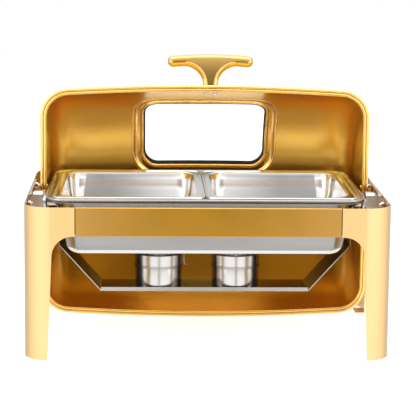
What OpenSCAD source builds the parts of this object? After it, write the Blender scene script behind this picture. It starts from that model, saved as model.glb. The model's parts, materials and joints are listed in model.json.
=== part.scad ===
// Roll top chafer: a steel frame on four legs, a half-round lid that rolls back on two
// pivots, a water pan with two food pans in it, and two fuel holders on a hanging tray.
// The lid is drawn open, its rim upright. The origin is on the ground, under the middle.

/* [Frame] */
// Width over the legs
frame_w = 630; // [520:1:780]
// Depth over the legs
frame_d = 450; // [370:1:560]
// Height of the band round the top of the frame
band_h = 50; // [48:1:64]
// Thickness of the frame's sheet
frame_t = 1.5; // [1.2:0.1:2]
// Outside radius of the frame's upright corners
corner_r = 46; // [30:1:58]
// How far a leg's head runs along the front and back
head_front = 88; // [84:1:120]
// How far a leg's head runs along the sides
head_side = 133; // [130:1:150]
// Width of a leg's front face under the band
shin_front = 49; // [48:1:60]
// Width of a leg's front face at the foot
foot_front = 41; // [30:1:48]
// Width of a leg's side face under the band
shin_side = 94; // [80:1:98]
// Width of a leg's side face at the foot
foot_side = 86; // [60:1:90]
// Radius of the arch between a leg and the band
arch_r = 35; // [20:1:38]
// Width of the lip turned in under a foot
foot_lip = 17; // [8:1:25]
// Width of the hems along the band's edges
hem_w = 4; // [2:0.5:5]
// Radius of the studs that hold the legs
stud_r = 2.5; // [2:0.25:3]

/* [Pivots] */
// Height of the frame's top edge over the pivots
pivot_drop = 27; // [25:0.5:34]
// Radius of the pivot shafts
shaft_r = 5; // [4:0.25:6]
// Width of a hinge block, along its shaft
block_w = 20.4; // [18:0.1:26]
// Depth of a hinge block, front to back
block_d = 22; // [18:1:28]
// Height of a hinge block
block_h = 38; // [30:1:46]
// Thickness of the friction washer beside a hinge block
washer_t = 3; // [2:0.1:4]
// Thickness of the plates that carry the lid's bushings
plate_t = 2.5; // [2:0.1:3]

/* [Lid] */
// Gap between the lid's rim and the frame's front and back
lid_gap = 12; // [9:0.5:20]
// Height of the open lid's lowest edge above the ground
ground_gap = 25; // [15:1:60]
// Radius of the crown along the lid's length
crown_r = 4000; // [3200:100:9000]
// Radius of the rim's four corners
rim_corner_r = 52; // [42:1:62]
// Width of the rim round the shell
rim_w = 10; // [8:0.5:12]
// Depth of the rim, front to back
rim_depth = 7; // [5:0.5:9]
// How far the rim stands in front of the pivot
rim_drop = 4; // [2:0.5:6]
// Thickness of the lid's sheet
lid_t = 1; // [0.8:0.1:1.2]

/* [Window] */
// Width of the window's opening
window_w = 230; // [160:1:300]
// Angle that the opening spans round the lid
window_span = 43.5; // [30:0.5:46]
// Angle from the rim to the middle of the window
window_at = 56.5; // [55:0.5:60]
// Corner radius of the opening
window_r = 28; // [12:1:34]
// Sideways place of the window on the lid
window_x = 4; // [-10:1:10]
// Width of the raised border round the opening
border_w = 20; // [16:1:24]
// Height of the raised border
border_h = 3; // [2:0.5:4]
// Thickness of the glass
glass_t = 2.8; // [2:0.1:3.5]

/* [Handle] */
// Angle from the rim to the handle
handle_at = 17.4; // [15:0.1:19]
// Sideways place of the handle on the lid
handle_x = 11; // [-12:1:12]
// Length of the handle's bar
handle_l = 157; // [100:1:190]
// Radius of the handle's bar
handle_r = 9.3; // [7:0.1:11.5]
// Height of the handle over the lid
handle_h = 71; // [58:1:88]
// Width of the handle's stem at the lid
stem_w = 30; // [26:1:40]
// Thickness of the stem, front to back
stem_t = 18; // [14:1:20]

/* [Pans] */
// Gap between the water pan's short sides and the lid's end walls
water_side_gap = 9.5; // [8:0.5:14]
// Gap between the water pan's long sides and the lid
water_long_gap = 24; // [22:0.5:30]
// Height of the water pan's rim over the pivots
water_rise = 33; // [32:0.5:38]
// Height of the water pan over all
water_h = 105; // [80:1:126]
// Width of the water pan's flange
water_flange = 23; // [20:0.5:26]
// Height of the edge turned down round the water pan's rim
water_edge = 7; // [4:0.5:9]
// Width of the water pan's rim left showing at its short sides
seat_side = 12.75; // [12.25:0.25:15]
// Width of the water pan's rim left showing at its long sides
seat_long = 16.5; // [13:0.5:19]
// Height of a food pan over all
food_h = 65; // [40:1:65]
// Width of a food pan's flange
food_flange = 14; // [13.5:0.25:16]
// Thickness of the pans' sheet
pan_t = 1; // [0.8:0.1:1.2]
// Sideways place of the pans on their rails
pans_x = -3; // [-3:0.5:3]

/* [Fuel] */
// Distance between the lid's end walls and the plates that carry the pans
carrier_gap = 22; // [20:0.5:23]
// Gap between the fuel holders and the water pan
flame_gap = 20; // [15:0.5:40]
// How far the tray's arms slope in on each side
arm_run = 75; // [60:1:85]
// Slope of the tray's arms
arm_slope = 48; // [40:0.5:50]
// Depth of the tray, front to back
tray_d = 96; // [90:1:116]
// Height of the lip along the tray's front
tray_lip = 5.5; // [3:0.5:8]
// Thickness of the tray's sheet
tray_t = 1.5; // [1.2:0.1:2]
// Radius of a fuel holder's cup
cup_r = 42.5; // [38:0.5:44]
// Height of a fuel holder's cup
cup_h = 53; // [44:1:64]
// Sideways place of the left fuel holder
fuel_left_x = -83; // [-90:1:-60]
// Sideways place of the right fuel holder
fuel_right_x = 57; // [50:1:75]

/* [Hidden] */
$fn = 64;
eps = 0.01;
far = 1000;

gold = [0.93, 0.76, 0.42];
gold_inside = [0.80, 0.58, 0.22];
steel = [0.82, 0.82, 0.83];
dark = [0.15, 0.15, 0.15];

// Clearances
seam_gap = 0.3;       // between a band and a leg's head
seat_gap = 0.1;       // between faces that bear on each other
running_gap = 0.04;   // radial, between a shaft and its bushing
side_gap = 0.3;       // beside a part that turns
hole_gap = 0.4;       // radial, round a stud or a screw's shank
food_gap = 0.5;       // between the two food pans

// Fasteners
rivet_r = 2;
rivet_head_r = 3.8;
rivet_head_h = 1.3;
screw_head_h = 2.2;
handle_screw_l = 13;

// Lid and pivots: radii about the pivots' axis, and distances from the middle plane
lid_r = frame_d / 2 - lid_gap;
shell_r = lid_r - rim_w;
shell_corner_r = rim_corner_r - rim_w;
pivot_z = ground_gap + lid_r;
wall_x = frame_w / 2 - frame_t;
block_x = wall_x - seat_gap - block_w;
plate_x = block_x - seat_gap - washer_t - side_gap;
end_x = plate_x - plate_t;
hub_r = shaft_r + 9;
bushing_r = shaft_r + 3;
flange_r = bushing_r + 3;
flange_t = 1.8;
washer_r = shaft_r + 4;
block_screw_l = 8;
block_screw_z = block_h / 3;
block_chamfer = 4;
set_screw_x = block_x + block_w / 3;
set_screw_r = 2;
shaft_end_x = block_x + 2 * block_w / 3;
clip_t = 1.2;
clip_groove = 0.8;
carrier_x = end_x - carrier_gap;
carrier_t = 2.5;
carrier_in_x = carrier_x - carrier_t;
clip_x = carrier_in_x - seat_gap - clip_t;
shaft_tip_x = clip_x - clip_groove;
block_sweep = norm([block_d / 2, block_h / 2]) + 0.5;

// Plates that join the lid's end walls to the bushings
hinge_plate_d = 42;
hinge_plate_h = 66;
hinge_plate_corner = 6;
plate_rivet_places = [[14, 27], [34, 14]];

// Frame
frame_h = pivot_z + pivot_drop;
band_z = frame_h - band_h;
band_front_l = frame_w - 2 * head_front - 2 * seam_gap;
band_side_l = frame_d - 2 * head_side - 2 * seam_gap;
tab_reach = 26;
tab_inset = hem_w + 1;
stud_in = tab_reach / 2;
stud_edge = 13;
nut_h = 4;

// Rim and window
rim_fold = 1.2;
groove_in = 0.37 * rim_w;
groove_land_in = 0.25 * rim_w;
window_h = 2 * shell_r * sin(window_span / 2);
window_flange = 6;
land_t = 1.2;
gasket_lip = 3;
gasket_t = 1.2;
pane_gap = 1;

// Handle
screw_pitch = 16.6;
stem_sweep_r = 25;
stem_root = 5;
stem_blend = 3;

// Pans: corner radii in plan, how far a wall leans in, and the radius round the floor
water_w = 2 * (end_x - water_side_gap);
water_d = 2 * (shell_r - water_long_gap);
water_z = pivot_z + water_rise;
water_rim_r = 42;
water_mouth_r = 28;
water_lean = 12;
water_floor_r = 22;
food_w = water_w / 2 - seat_side - food_gap / 2;
food_d = water_d - 2 * seat_long;
food_rim_r = 20;
food_mouth_r = 40;
food_lean = 8;
food_floor_r = 18;
bowl_fn = 24;

// Fuel holders
cap_t = 0.8;
cap_rise = 8;
cap_skirt = 17;
cap_r = cup_r + seat_gap + cap_t;
cap_top_z = water_z - water_h - flame_gap;
cup_z = cap_top_z - cap_rise - cup_h;
cap_skirt_z = cup_z + cup_h - cap_skirt;
cap_bead_r = 1.5;
flame_r = 24;
damper_pin = 33;
damper_t = 0.8;
damper_disc_r = 27;
turn_left = 0;
turn_right = 90;

// Tray and the plates that carry it
tray_z = cup_z - seat_gap - tray_t;
tray_mid_z = tray_z + tray_t / 2;
arm_x = carrier_in_x - tray_t / 2;
arm_top_z = pivot_z - hub_r - 2;
arm_bend_z = tray_mid_z + arm_run * tan(arm_slope);
arm_rivet_z = arm_top_z - 12;
arm_rivet_y = tray_d / 2 - 18;
stem_foot_z = arm_rivet_z - 10;
tray_flat = 2 * (arm_x - arm_run);
rail_l = water_d - 58;
rail_w = 6;
rail_rib = 9;
rail_z = water_z - pan_t - seat_gap;

// ---------- Shared shapes ----------

module rounded_rect(w, d, r) {
  square([w - 2 * r, d], center = true);
  square([w, d - 2 * r], center = true);
  for (x = [-1, 1], y = [-1, 1]) translate([x * (w / 2 - r), y * (d / 2 - r)]) circle(r);
}

// Draws for each side, mirrored to the left for side = -1
module at_side(side) {
  mirror([side < 0 ? 1 : 0, 0, 0]) children();
}

// A cylinder along X, on the pivot's axis
module pivot_rod(x0, x1, r) {
  translate([x0, 0, pivot_z]) rotate([0, 90, 0]) cylinder(h = x1 - x0, r = r);
}

module pivot_ring(x0, x1, r, bore) {
  difference() {
    pivot_rod(x0, x1, r);
    pivot_rod(x0 - 1, x1 + 1, bore);
  }
}

// A strip of sheet bent through the points given
module bent_strip(points, t) {
  for (i = [0 : len(points) - 2]) {
    run = points[i + 1] - points[i];
    translate(points[i]) rotate(atan2(run[1], run[0])) translate([0, -t / 2]) square([norm(run), t]);
  }
  for (i = [1 : len(points) - 2]) translate(points[i]) circle(t / 2);
}

// ---------- Frame ----------

// The opening between two legs, seen square on, under a band
module leg_opening(half_span, shin, foot) {
  shin_x = half_span - shin;
  foot_x = half_span - foot;
  spring_z = band_z - arch_r;
  polygon([[-foot_x, -1], [foot_x, -1], [shin_x, spring_z], [-shin_x, spring_z]]);
  translate([-shin_x + arch_r, spring_z - 1]) square([2 * (shin_x - arch_r), arch_r + 1]);
  for (x = [-1, 1]) translate([x * (shin_x - arch_r), spring_z]) circle(arch_r);
}

// One leg with its head, its round corner and its foot lip, in the +X +Y quarter
module leg() {
  difference() {
    union() {
      intersection() {
        linear_extrude(frame_h) difference() {
          rounded_rect(frame_w, frame_d, corner_r);
          rounded_rect(frame_w - 2 * frame_t, frame_d - 2 * frame_t, corner_r - frame_t);
        }
        translate([frame_w / 2 - head_front, frame_d / 2 - head_side, 0]) cube(far);
      }
      translate([wall_x - foot_lip, frame_d / 2 - foot_side, 0])
        cube([foot_lip + frame_t / 2, foot_side - corner_r, frame_t]);
    }
    translate([0, far / 2, 0]) rotate([90, 0, 0])
      linear_extrude(far) leg_opening(frame_w / 2, shin_front, foot_front);
    translate([-far / 2, 0, 0]) rotate([90, 0, 90])
      linear_extrude(far) leg_opening(frame_d / 2, shin_side, foot_side);
  }
}

module leg_at(side, end) {
  color(gold) mirror([side < 0 ? 1 : 0, 0, 0]) mirror([0, end < 0 ? 1 : 0, 0]) leg();
}

// A band between two legs' heads, its outer face at y = -out, with a tab behind each head
module band(length, out) {
  difference() {
    union() {
      translate([-length / 2, -out, band_z]) cube([length, frame_t, band_h]);
      for (z = [band_z, frame_h - frame_t])
        translate([-length / 2, -out, z]) cube([length, frame_t + hem_w, frame_t]);
      for (x = [-1, 1]) translate([x * length / 2, -out + 1.5 * frame_t + seat_gap / 2, frame_h - band_h / 2])
        cube([2 * tab_reach, frame_t + seat_gap, band_h - 2 * tab_inset], center = true);
    }
    for (x = [-1, 1], z = [band_z + stud_edge, frame_h - stud_edge])
      translate([x * (length / 2 + seam_gap + stud_in), -out, z])
        rotate([-90, 0, 0]) cylinder(h = 4 * frame_t, r = stud_r + hole_gap);
    for (x = [-1, 1]) translate([x * length / 2 - (x < 0 ? tab_reach + 1 : -eps), -out - 1, band_z])
      cube([tab_reach + 1, 1 + frame_t + seat_gap, band_h]);
  }
}

module front_band() {
  color(gold) band(band_front_l, frame_d / 2);
}

module rear_band() {
  color(gold) rotate(180) band(band_front_l, frame_d / 2);
}

module side_band() {
  difference() {
    rotate(90) band(band_side_l, frame_w / 2);
    for (z = [-1, 1]) translate([wall_x, 0, pivot_z + z * block_screw_z]) rotate([0, 90, 0]) {
      translate([0, 0, -1]) cylinder(h = frame_t + 2, r = rivet_r + hole_gap);
      translate([0, 0, 0.2]) cylinder(h = frame_t, r1 = rivet_r + hole_gap, r2 = rivet_head_r + 0.2);
    }
  }
}

module left_band() {
  color(gold) at_side(-1) side_band();
}

module right_band() {
  color(gold) side_band();
}

// Places a child at each leg stud: on the inner face of a leg's head, pointing inwards
module each_stud() {
  for (z = [band_z + stud_edge, frame_h - stud_edge], side = [-1, 1], end = [-1, 1]) {
    translate([side * (frame_w / 2 - head_front + stud_in), end * (frame_d / 2 - frame_t), z])
      rotate([end * 90, 0, 0]) children();
    translate([side * wall_x, end * (frame_d / 2 - head_side + stud_in), z])
      rotate([0, -side * 90, 0]) children();
  }
}

module leg_studs() {
  color(steel) each_stud() cylinder(h = 2 * frame_t + nut_h + 1.5, r = stud_r);
}

module leg_nuts() {
  color(steel) each_stud() translate([0, 0, frame_t + 2 * seat_gap]) difference() {
    cylinder(h = nut_h, r = 2 * stud_r, $fn = 6);
    translate([0, 0, -1]) cylinder(h = nut_h + 2, r = stud_r);
  }
}

// ---------- Pivots ----------

module hinge_block() {
  chamfer = block_chamfer;
  difference() {
    translate([block_x, 0, pivot_z]) rotate([90, 0, 90])
      linear_extrude(block_w) polygon([
        [-block_d / 2, -block_h / 2], [block_d / 2, -block_h / 2],
        [block_d / 2, block_h / 2 - chamfer], [block_d / 2 - chamfer, block_h / 2],
        [chamfer - block_d / 2, block_h / 2], [-block_d / 2, block_h / 2 - chamfer]]);
    pivot_rod(block_x - 1, shaft_end_x, shaft_r);
    for (z = [-1, 1]) translate([wall_x - block_screw_l - 1, 0, pivot_z + z * block_screw_z])
      rotate([0, 90, 0]) cylinder(h = block_screw_l + 2, r = rivet_r);
    translate([set_screw_x, 0, pivot_z - block_h / 2 - 1]) cylinder(h = block_h / 2, r = set_screw_r);
  }
}

module hinge_block_left() {
  color(steel) at_side(-1) hinge_block();
}

module hinge_block_right() {
  color(steel) hinge_block();
}

module block_screws() {
  color(gold) for (side = [-1, 1], z = [-1, 1]) at_side(side)
    translate([wall_x - block_screw_l, 0, pivot_z + z * block_screw_z]) rotate([0, 90, 0]) {
      cylinder(h = block_screw_l + seat_gap, r = rivet_r);
      translate([0, 0, block_screw_l + 2 * seat_gap])
        cylinder(h = frame_t - 3 * seat_gap, r1 = rivet_r, r2 = rivet_head_r - 2 * seat_gap);
    }
}

module hinge_shaft(side) {
  color(steel) at_side(side) difference() {
    pivot_rod(shaft_tip_x, shaft_end_x, shaft_r);
    pivot_ring(clip_x, clip_x + clip_t, shaft_r + 1, shaft_r - clip_groove);
  }
}

module shaft_set_screws() {
  color(dark) for (side = [-1, 1]) at_side(side)
    translate([set_screw_x, 0, pivot_z - block_h / 2 + 1])
      cylinder(h = block_h / 2 - shaft_r - 1, r = set_screw_r);
}

module friction_washers() {
  color(steel) for (side = [-1, 1]) at_side(side)
    pivot_ring(plate_x + side_gap, block_x - seat_gap, washer_r, shaft_r + seat_gap);
}

module spacer_sleeves() {
  color(steel) for (side = [-1, 1]) at_side(side)
    pivot_ring(carrier_x + seat_gap, end_x - flange_t - side_gap, bushing_r, shaft_r + seat_gap);
}

module shaft_clips() {
  color(dark) for (side = [-1, 1]) at_side(side)
    pivot_ring(clip_x, clip_x + clip_t, shaft_r + 3, shaft_r - clip_groove);
}

// ---------- Carrier and fuel tray ----------

// One side plate: a rail under the water pan's rim, an eye on the shaft and a stem for the tray
module carrier_plate() {
  difference() {
    union() {
      translate([carrier_in_x, 0, 0]) rotate([90, 0, 90]) linear_extrude(carrier_t)
        polygon([[-rail_l / 2, rail_z], [-rail_l / 2, rail_z - rail_rib], [-tray_d / 2, pivot_z],
          [-tray_d / 2, stem_foot_z], [tray_d / 2, stem_foot_z], [tray_d / 2, pivot_z],
          [rail_l / 2, rail_z - rail_rib], [rail_l / 2, rail_z]]);
      translate([carrier_in_x, -rail_l / 2, rail_z - carrier_t])
        cube([carrier_t + rail_w, rail_l, carrier_t]);
    }
    pivot_rod(carrier_x - 10, carrier_x + 10, shaft_r);
    for (y = [-1, 1]) translate([carrier_x - 10, y * arm_rivet_y, arm_rivet_z])
      rotate([0, 90, 0]) cylinder(h = 20, r = rivet_r);
  }
}

module carrier_plate_left() {
  color(steel) at_side(-1) carrier_plate();
}

module carrier_plate_right() {
  color(steel) carrier_plate();
}

module fuel_tray() {
  color(steel) difference() {
    union() {
      translate([0, tray_d / 2, 0]) rotate([90, 0, 0]) linear_extrude(tray_d)
        bent_strip([[-arm_x, arm_top_z], [-arm_x, arm_bend_z], [-tray_flat / 2, tray_mid_z],
          [tray_flat / 2, tray_mid_z], [arm_x, arm_bend_z], [arm_x, arm_top_z]], tray_t);
      translate([-tray_flat / 2, -tray_d / 2, tray_mid_z])
        cube([tray_flat, tray_t, tray_t / 2 + tray_lip]);
    }
    for (x = [-1, 1], y = [-1, 1]) translate([x * arm_x, y * arm_rivet_y, arm_rivet_z])
      rotate([0, 90, 0]) cylinder(h = 10, r = rivet_r, center = true);
  }
}

module tray_rivets() {
  grip_in = arm_x - tray_t / 2;
  color(steel) for (side = [-1, 1], y = [-1, 1]) at_side(side)
    translate([grip_in, y * arm_rivet_y, arm_rivet_z]) rotate([0, 90, 0]) {
      translate([0, 0, -rivet_head_h]) cylinder(h = rivet_head_h, r = rivet_head_r);
      cylinder(h = carrier_x - grip_in, r = rivet_r);
      translate([0, 0, carrier_x - grip_in]) cylinder(h = rivet_head_h, r = rivet_head_r);
    }
}

// ---------- Lid ----------

function crown_drop(x) = crown_r - sqrt(crown_r * crown_r - x * x);

// The lid's outline from its left end over the crown to its right end, as [x, radius],
// moved outwards by off from the shell's outer face
function lid_curve(off) =
  let (flat_x = end_x - shell_corner_r,
    centre_r = shell_r - crown_drop(flat_x) - shell_corner_r,
    corner = [for (a = [0 : 7.5 : 82.5]) [flat_x + (shell_corner_r + off) * cos(a),
      centre_r + (shell_corner_r + off) * sin(a)]],
    crown = [for (i = [8 : -1 : 1]) let (x = flat_x * i / 8) [x, shell_r - crown_drop(x) + off]],
    right = concat(corner, crown))
  concat([for (p = right) [-p[0], p[1]]], [[0, shell_r + off]],
    [for (i = [len(right) - 1 : -1 : 0]) right[i]]);

// The lid's whole body of revolution about the pivot's axis
module lid_solid(off) {
  curve = lid_curve(off);
  translate([0, 0, pivot_z]) rotate([0, 90, 0]) rotate_extrude($fn = 96)
    polygon(concat([for (p = curve) [p[1], p[0]]], [[0, end_x + off], [0, -end_x - off]]));
}

module lid_layer(off_in, off_out) {
  difference() {
    lid_solid(off_out);
    lid_solid(off_in);
  }
}

// A frame round the lid's mouth between two offsets, from y0 back to y1
module rim_ring(off_in, off_out, y0, y1) {
  translate([0, y1, pivot_z]) rotate([90, 0, 0]) linear_extrude(y1 - y0) difference() {
    polygon(concat(lid_curve(off_out), mirrored(lid_curve(off_out))));
    polygon(concat(lid_curve(off_in), mirrored(lid_curve(off_in))));
  }
}

function mirrored(curve) = [for (i = [len(curve) - 1 : -1 : 0]) [curve[i][0], -curve[i][1]]];

// Local frame on the lid, +Z pointing out of it at an angle round from the rim
module on_lid(angle, x) {
  translate([x, 0, pivot_z]) rotate([-angle, 0, 0]) children();
}

// A prism through the window, grown by grow beyond the opening
module window_prism(grow) {
  on_lid(window_at, window_x) translate([0, 0, shell_r / 2]) linear_extrude(shell_r)
    rounded_rect(window_w + 2 * grow, window_h + 2 * grow, window_r + grow);
}

module in_front_of_rim() {
  translate([-far / 2, -far - rim_drop, pivot_z - far / 2]) cube(far);
}

module lid_shell() {
  color(gold_inside) difference() {
    lid_layer(-lid_t, 0);
    in_front_of_rim();
    window_prism(border_w);
    each_handle_screw() cylinder(h = far, r = rivet_r + hole_gap);
    for (side = [-1, 1]) at_side(side) {
      pivot_rod(end_x - 5, end_x + 5, hub_r + 1);
      each_plate_rivet() cylinder(h = 10, r = rivet_r, center = true);
    }
  }
}

// The rim is a folded channel with a groove, notched at the pivots
module lid_rim(up) {
  front = -rim_drop;
  back = rim_depth - rim_drop;
  color(gold) difference() {
    union() {
      rim_ring(0, rim_w, front, front + rim_fold);
      rim_ring(rim_w - rim_fold, rim_w, front, back);
      rim_ring(0, rim_fold, front, back);
      rim_ring(groove_land_in, rim_w - groove_land_in, front, front + 2 * rim_fold);
    }
    rim_ring(groove_in, rim_w - groove_in, front - 1, front + rim_fold);
    translate([0, 0, pivot_z + (up ? -far / 2 : far / 2) + (up ? block_sweep : -block_sweep)])
      cube(far, center = true);
  }
}

module lid_rim_upper() {
  lid_rim(true);
}

module lid_rim_lower() {
  lid_rim(false);
}

// Places a child on each rivet's axis, on the right end wall
module each_plate_rivet() {
  for (place = plate_rivet_places, up = [-1, 1])
    translate([end_x, place[0], pivot_z + up * place[1]]) rotate([0, 90, 0]) children();
}

module hinge_plate() {
  difference() {
    translate([end_x, 0, pivot_z]) rotate([90, 0, 90]) linear_extrude(plate_t) {
      circle(hub_r);
      translate([0, -hub_r]) square([hinge_plate_d, 2 * hub_r]);
      translate([hinge_plate_corner, -hinge_plate_h / 2]) translate([
        (hinge_plate_d - hinge_plate_corner) / 2, hinge_plate_h / 2])
        rounded_rect(hinge_plate_d - hinge_plate_corner, hinge_plate_h, hinge_plate_corner);
    }
    pivot_rod(end_x - 1, plate_x + 1, bushing_r);
    each_plate_rivet() cylinder(h = 10, r = rivet_r, center = true);
  }
}

module hinge_plate_left() {
  color(steel) at_side(-1) hinge_plate();
}

module hinge_plate_right() {
  color(steel) hinge_plate();
}

module plate_rivets() {
  color(gold) for (side = [-1, 1]) at_side(side) each_plate_rivet() {
    translate([0, 0, -lid_t - rivet_head_h]) cylinder(h = rivet_head_h, r = rivet_head_r);
    translate([0, 0, -lid_t]) cylinder(h = lid_t + plate_t, r = rivet_r);
    translate([0, 0, plate_t]) cylinder(h = rivet_head_h, r = rivet_head_r);
  }
}

module lid_bushings() {
  color(dark) for (side = [-1, 1]) at_side(side) {
    pivot_ring(end_x - flange_t, end_x, flange_r, shaft_r + running_gap);
    pivot_ring(end_x, plate_x, bushing_r, shaft_r + running_gap);
  }
}

// ---------- Window ----------

module window_frame() {
  color(gold_inside) difference() {
    union() {
      intersection() {
        lid_layer(0, land_t);
        window_prism(border_w + window_flange);
      }
      intersection() {
        lid_layer(0, border_h + land_t);
        window_prism(border_w);
      }
    }
    intersection() {
      lid_solid(border_h);
      window_prism(border_w - land_t);
    }
    window_prism(0);
  }
}

module window_gasket() {
  color(dark) difference() {
    intersection() {
      lid_layer(border_h - gasket_t, border_h + glass_t + gasket_t);
      window_prism(gasket_lip);
    }
    window_prism(-gasket_lip);
    intersection() {
      lid_layer(border_h, border_h + land_t);
      difference() {
        window_prism(gasket_lip + 1);
        window_prism(0);
      }
    }
    window_pane();
  }
}

module window_pane() {
  intersection() {
    lid_layer(border_h, border_h + glass_t);
    window_prism(-pane_gap);
  }
}

module window_glass() {
  color([0.8, 0.9, 0.95, 0.35]) window_pane();
}

// ---------- Handle ----------

module each_handle_screw() {
  for (x = [-1, 1]) on_lid(handle_at, handle_x + x * screw_pitch / 2) children();
}

// The bar is a straight rod with round ends, and the stem sweeps out into its underside
module lid_handle() {
  bar_mid = shell_r + handle_h - handle_r;
  bar_flat = handle_l - 2 * handle_r;
  scoop_z = bar_mid - handle_r - stem_sweep_r + stem_blend;
  color(gold) difference() {
    on_lid(handle_at, handle_x) {
      translate([-bar_flat / 2, 0, bar_mid]) rotate([0, 90, 0]) cylinder(h = bar_flat, r = handle_r);
      for (x = [-1, 1]) translate([x * bar_flat / 2, 0, bar_mid]) sphere(handle_r);
      rotate([90, 0, 0]) linear_extrude(stem_t, center = true) difference() {
        translate([-stem_w / 2 - stem_sweep_r, shell_r - stem_root])
          square([stem_w + 2 * stem_sweep_r, handle_h - handle_r + stem_root]);
        for (x = [-1, 1]) {
          translate([x * (stem_w / 2 + stem_sweep_r), scoop_z]) circle(stem_sweep_r);
          translate([x * (stem_w / 2 + far / 2), scoop_z - far / 2]) square(far, center = true);
        }
      }
    }
    pivot_rod(-far, far, shell_r);
    each_handle_screw() cylinder(h = shell_r + handle_screw_l, r = rivet_r);
  }
}

module handle_screws() {
  inner = shell_r - lid_t - seat_gap;
  color(steel) each_handle_screw() {
    translate([0, 0, inner - screw_head_h]) cylinder(h = screw_head_h, r = rivet_head_r);
    translate([0, 0, inner]) cylinder(h = handle_screw_l, r = rivet_r);
  }
}

// ---------- Pans ----------

// A pressed pan's bowl: round bottom edges, and walls that lean out to the mouth
module bowl(mouth_w, mouth_d, mouth_r, floor_w, floor_d, floor_r, h) {
  hull() {
    for (x = [-1, 1], y = [-1, 1]) {
      translate([x * (floor_w / 2 - floor_r), y * (floor_d / 2 - floor_r), floor_r])
        sphere(floor_r, $fn = bowl_fn);
      translate([x * (mouth_w / 2 - mouth_r), y * (mouth_d / 2 - mouth_r), h - 1])
        cylinder(h = 1, r = mouth_r, $fn = bowl_fn);
    }
  }
}

module pan(w, d, r, edge, flange, mouth_r, lean, floor_r, h) {
  mouth_w = w - 2 * flange;
  mouth_d = d - 2 * flange;
  floor_w = mouth_w - 2 * lean;
  floor_d = mouth_d - 2 * lean;
  difference() {
    union() {
      bowl(mouth_w, mouth_d, mouth_r, floor_w, floor_d, floor_r, h);
      if (edge > pan_t) translate([0, 0, h - edge]) linear_extrude(edge) difference() {
        rounded_rect(w, d, r);
        rounded_rect(w - 2 * pan_t, d - 2 * pan_t, r - pan_t);
      }
      translate([0, 0, h - pan_t]) linear_extrude(pan_t) rounded_rect(w, d, r);
    }
    translate([0, 0, pan_t]) bowl(mouth_w - 2 * pan_t, mouth_d - 2 * pan_t, mouth_r - pan_t,
      floor_w - 2 * pan_t, floor_d - 2 * pan_t, floor_r - pan_t, h);
  }
}

module water_pan() {
  color(steel) translate([pans_x, 0, water_z - water_h])
    pan(water_w, water_d, water_rim_r, water_edge, water_flange, water_mouth_r,
      water_lean, water_floor_r, water_h);
}

module food_pan(side) {
  color(steel) translate([pans_x + side * (food_w + food_gap) / 2, 0, water_z + seat_gap + pan_t - food_h])
    pan(food_w, food_d, food_rim_r, pan_t, food_flange, food_mouth_r,
      food_lean, food_floor_r, food_h);
}

module food_pan_left() {
  food_pan(-1);
}

module food_pan_right() {
  food_pan(1);
}

// ---------- Fuel holders ----------

module fuel_cup(x) {
  color(steel) translate([x, 0, cup_z]) difference() {
    cylinder(h = cup_h, r = cup_r);
    translate([0, 0, cap_t]) cylinder(h = cup_h, r = cup_r - cap_t);
  }
}

module fuel_cap(x, turn) {
  color(steel) translate([x, 0, 0]) difference() {
    union() {
      translate([0, 0, cap_skirt_z]) cylinder(h = cap_top_z - cap_skirt_z, r = cap_r);
      translate([0, 0, cap_skirt_z + cap_bead_r])
        rotate_extrude() translate([cap_r - side_gap, 0]) circle(cap_bead_r);
    }
    translate([0, 0, cap_skirt_z - 1]) cylinder(h = cap_skirt + seat_gap + 1, r = cap_r - cap_t);
    translate([0, 0, cap_skirt_z]) cylinder(h = cap_top_z - cap_t - cap_skirt_z, r = cup_r - cap_t);
    cylinder(h = far, r = flame_r);
    rotate(turn) translate([-damper_pin, 0, 0]) cylinder(h = far, r = rivet_r);
  }
}

module cap_rivet(x, turn) {
  color(steel) translate([x, 0, cap_top_z]) rotate(turn) translate([-damper_pin, 0, 0]) {
    translate([0, 0, -cap_t - 1]) cylinder(h = 1, r = rivet_r + 1);
    translate([0, 0, -cap_t]) cylinder(h = cap_t + damper_t + 2 * side_gap, r = rivet_r);
    translate([0, 0, damper_t + 2 * side_gap]) cylinder(h = 1, r = rivet_r + 1.2);
  }
}

// A disc over the flame hole, swung about the rivet by a lever bent down beside the cap
module damper(x, turn) {
  lever_w = 9;
  lever_r = cap_r + 2.6;
  lever_z = cap_skirt_z + 5;
  plate_z = cap_top_z + side_gap;
  color(steel) translate([x, 0, 0]) rotate(turn) difference() {
    union() {
      translate([0, 0, plate_z]) cylinder(h = damper_t, r = damper_disc_r);
      translate([-damper_pin, 0, plate_z]) cylinder(h = damper_t, r = rivet_r + 3);
      translate([-damper_pin, -rivet_r - 3, plate_z]) cube([damper_pin, 2 * rivet_r + 6, damper_t]);
      translate([0, -lever_w / 2, plate_z]) cube([lever_r + damper_t, lever_w, damper_t]);
      translate([0, lever_w / 2, 0]) rotate([90, 0, 0]) linear_extrude(lever_w)
        bent_strip([[lever_r + damper_t / 2, plate_z + damper_t / 2], [lever_r + damper_t / 2, lever_z],
          [lever_r + 5, lever_z - 3.5]], damper_t);
    }
    translate([-damper_pin, 0, plate_z - 1]) cylinder(h = damper_t + 2, r = rivet_r + running_gap);
  }
}

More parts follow.
